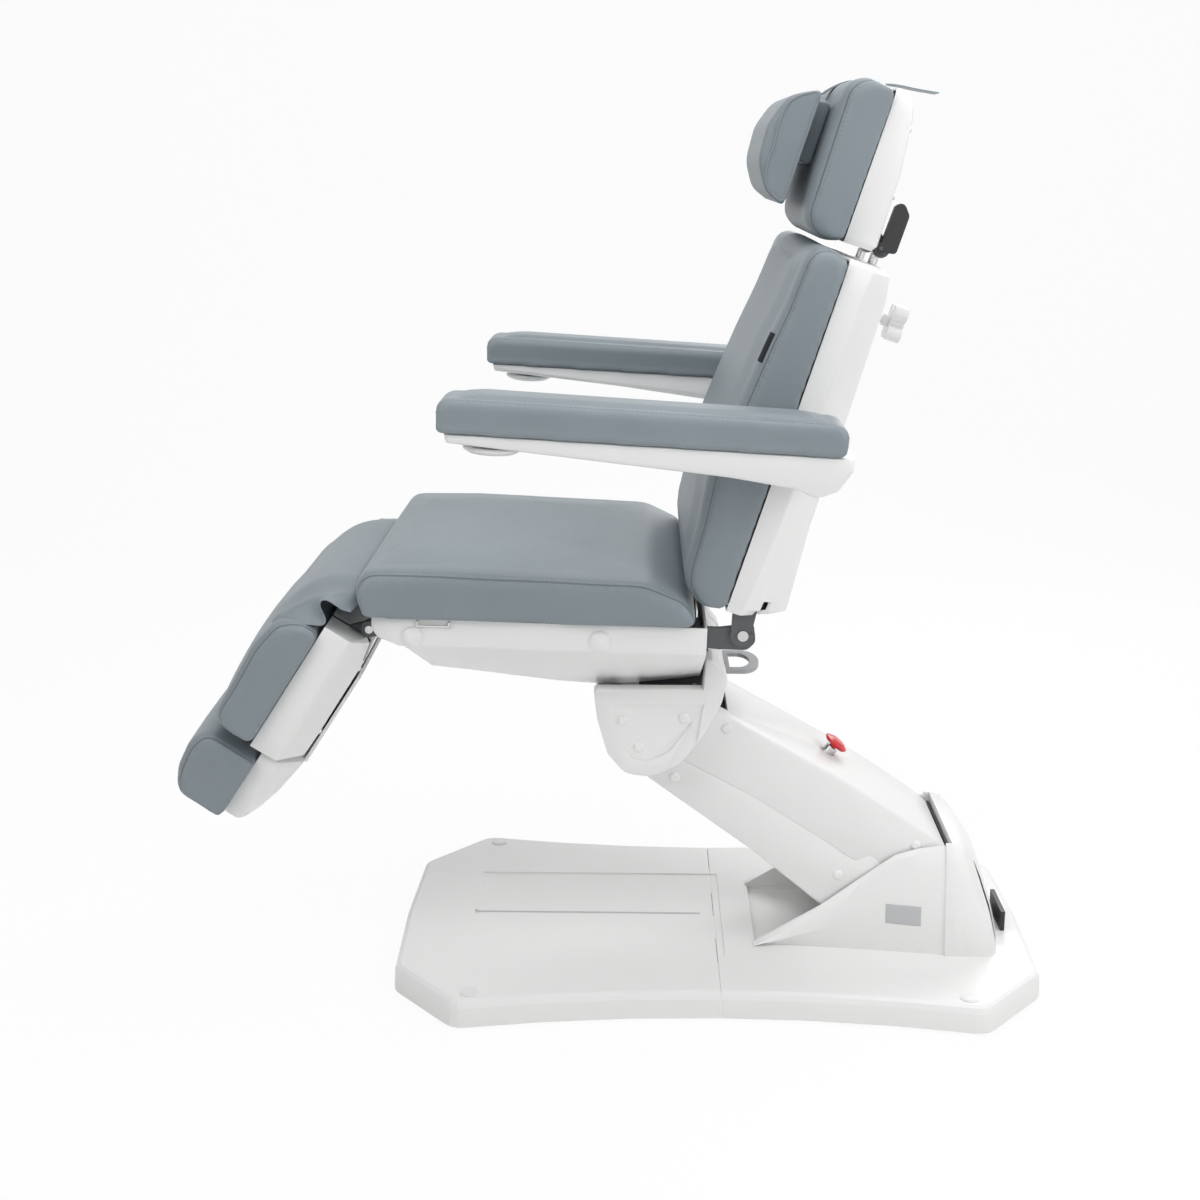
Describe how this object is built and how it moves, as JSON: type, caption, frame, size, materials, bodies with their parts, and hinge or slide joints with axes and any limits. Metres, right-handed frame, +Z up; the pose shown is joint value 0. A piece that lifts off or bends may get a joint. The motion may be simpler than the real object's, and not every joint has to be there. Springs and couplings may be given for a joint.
{
  "type": "procedure chair",
  "caption": "Powered clinic chair on a floor plate: a sloping lift arm carries a padded seat, reclining back, headrest with pillow, hinged leg rest, sliding foot rest and armrests.",
  "frame": {"origin": "on the floor, under the middle of the whole chair", "axes": "+Z up; -Y is the way the sitter faces, towards the foot rest; +X is the sitter's left and the axis of every hinge; the chair is symmetric about the Y-Z plane but for its actuators and the headrest's lever"},
  "size_m": [0.884, 1.3501, 1.4158],
  "materials": {
    "white_shell": "white moulded plastic, satin to light gloss",
    "pale_plastic": "light grey-white plastic, light gloss",
    "vinyl": "blue-grey upholstery vinyl with a fine grain",
    "frame_steel": "dark grey powder coat",
    "bright_steel": "bright steel",
    "stop_red": "red signal plastic",
    "lever_grey": "mid-grey plastic",
    "black_plastic": "black plastic",
    "board": "plywood",
    "foot_rubber": "black rubber"
  },
  "bodies": {
    "base": {"base_frame": "frame_steel", "base_cover_front": "white_shell", "base_cover_rear": "white_shell", "lift_housing": "white_shell", "base_plug_caps": "pale_plastic", "levelling_feet": "foot_rubber", "lower_pivot_pins": "bright_steel", "power_inlet": "black_plastic", "slot_lining": "black_plastic", "control_box": "black_plastic"},
    "lift_arm": {"lift_arm_frame": "frame_steel", "arm_cover_upper": "white_shell", "arm_cover_lower": "white_shell", "arm_screw_caps": "white_shell", "stop_collar": "bright_steel", "lift_actuator": "black_plastic"},
    "stop_button_body": {"stop_button": "stop_red"},
    "tie_link_body": {"tie_link": "frame_steel"},
    "support_head": {"head_frame": "frame_steel", "head_cover": "white_shell", "head_screw_caps": "white_shell", "upper_pivot_pins": "bright_steel"},
    "tilt_lever_body": {"tilt_lever": "lever_grey"},
    "seat": {"seat_frame": "frame_steel", "seat_board": "board", "seat_pan": "white_shell", "seat_cushion": "vinyl", "seat_pan_caps": "white_shell", "accessory_loops": "bright_steel", "back_hinge_plates": "frame_steel", "hinge_bolts": "bright_steel", "back_actuator": "black_plastic", "leg_actuator": "black_plastic"},
    "back": {"back_frame": "frame_steel", "back_board": "board", "back_shell": "white_shell", "back_cushion": "vinyl", "rod_guides": "black_plastic", "armrest_pivots": "frame_steel"},
    "clamp_knob_body": {"clamp_knob": "pale_plastic"},
    "headrest_slide": {"headrest_rods": "bright_steel"},
    "headrest": {"headrest_bracket": "frame_steel", "headrest_shell": "white_shell", "headrest_cushion": "vinyl", "head_pillow": "vinyl", "pillow_strap": "vinyl"},
    "headrest_lever_body": {"headrest_lever": "black_plastic"},
    "leg_rest": {"leg_frame": "frame_steel", "leg_shell": "white_shell", "leg_cushion": "vinyl", "knee_flap": "vinyl"},
    "foot_rest": {"foot_slide": "bright_steel", "foot_shell": "white_shell", "foot_cushion": "vinyl"},
    "left_armrest": {"armrest_left": "white_shell", "armrest_pad_left": "vinyl"},
    "left_armrest_knob": {"armrest_knob_left": "pale_plastic"},
    "right_armrest": {"armrest_right": "white_shell", "armrest_pad_right": "vinyl"},
    "right_armrest_knob": {"armrest_knob_right": "pale_plastic"}
  },
  "joints": [
    {"name": "arm_lift", "type": "hinge", "parent": "base", "child": "lift_arm", "pos_m": [0, 0.447, 0.16], "axis": [-1, 0, 0], "range_deg": [-20, 22]},
    {"name": "head_level", "type": "hinge", "parent": "lift_arm", "child": "support_head", "pos_m": [0, 0.06709, 0.44009], "axis": [-1, 0, 0], "range_deg": [-22, 20]},
    {"name": "link_turn", "type": "hinge", "parent": "base", "child": "tie_link_body", "pos_m": [0, 0.466, 0.19], "axis": [-1, 0, 0], "range_deg": [-20, 22]},
    {"name": "stop_press", "type": "slide", "parent": "lift_arm", "child": "stop_button_body", "axis": [0, -0.6414, -0.7672], "range_m": [0, 0.004], "stiffness_N_per_m": 1500, "springref_m": -0.004},
    {"name": "seat_tilt", "type": "hinge", "parent": "support_head", "child": "seat", "pos_m": [0, 0.10909, 0.54509], "axis": [-1, 0, 0], "range_deg": [0, 12]},
    {"name": "tilt_lever_pull", "type": "hinge", "parent": "support_head", "child": "tilt_lever_body", "pos_m": [0, 0.14809, 0.49309], "axis": [-1, 0, 0], "range_deg": [0, 12], "stiffness_Nm_per_rad": 2, "springref_deg": -11.46},
    {"name": "back_recline", "type": "hinge", "parent": "seat", "child": "back", "pos_m": [0, 0.18409, 0.61209], "axis": [-1, 0, 0], "range_deg": [0, 72]},
    {"name": "leg_lift", "type": "hinge", "parent": "seat", "child": "leg_rest", "pos_m": [0, -0.37324, 0.60815], "axis": [-1, 0, 0], "range_deg": [-18, 55], "deforming": ["knee_flap"]},
    {"name": "foot_slide_out", "type": "slide", "parent": "leg_rest", "child": "foot_rest", "axis": [0, -0.5446, -0.8387], "range_m": [0, 0.15]},
    {"name": "headrest_height", "type": "slide", "parent": "back", "child": "headrest_slide", "axis": [0, 0.309, 0.9511], "range_m": [0, 0.1]},
    {"name": "headrest_tilt", "type": "hinge", "parent": "headrest_slide", "child": "headrest", "pos_m": [0, 0.38738, 1.16009], "axis": [-1, 0, 0], "range_deg": [0, 40]},
    {"name": "headrest_release", "type": "hinge", "parent": "headrest", "child": "headrest_lever_body", "pos_m": [0.116, 0.38229, 1.16385], "axis": [-1, 0, 0], "range_deg": [0, 20], "stiffness_Nm_per_rad": 1, "springref_deg": -17.19},
    {"name": "clamp_turn", "type": "hinge", "parent": "back", "child": "clamp_knob_body", "pos_m": [0, 0.41956, 1.04554], "axis": [0, 0.9511, -0.309], "continuous": true},
    {"name": "armrest_swing_left", "type": "hinge", "parent": "back", "child": "left_armrest", "pos_m": [0.357, 0.28048, 0.86993], "axis": [-1, 0, 0], "range_deg": [-72, 60]},
    {"name": "armrest_swing_right", "type": "hinge", "parent": "back", "child": "right_armrest", "pos_m": [-0.357, 0.28048, 0.86993], "axis": [-1, 0, 0], "range_deg": [-72, 60]},
    {"name": "armrest_knob_turn_left", "type": "hinge", "parent": "left_armrest", "child": "left_armrest_knob", "pos_m": [0.388, -0.17013, 0.90671], "axis": [0, 0.0593, 0.9982], "continuous": true},
    {"name": "armrest_knob_turn_right", "type": "hinge", "parent": "right_armrest", "child": "right_armrest_knob", "pos_m": [-0.388, -0.17013, 0.90671], "axis": [0, 0.0593, 0.9982], "continuous": true}
  ],
  "couplings": [
    {"joint": "head_level", "follows": "arm_lift", "ratio": -1},
    {"joint": "link_turn", "follows": "arm_lift", "ratio": 1}
  ]
}
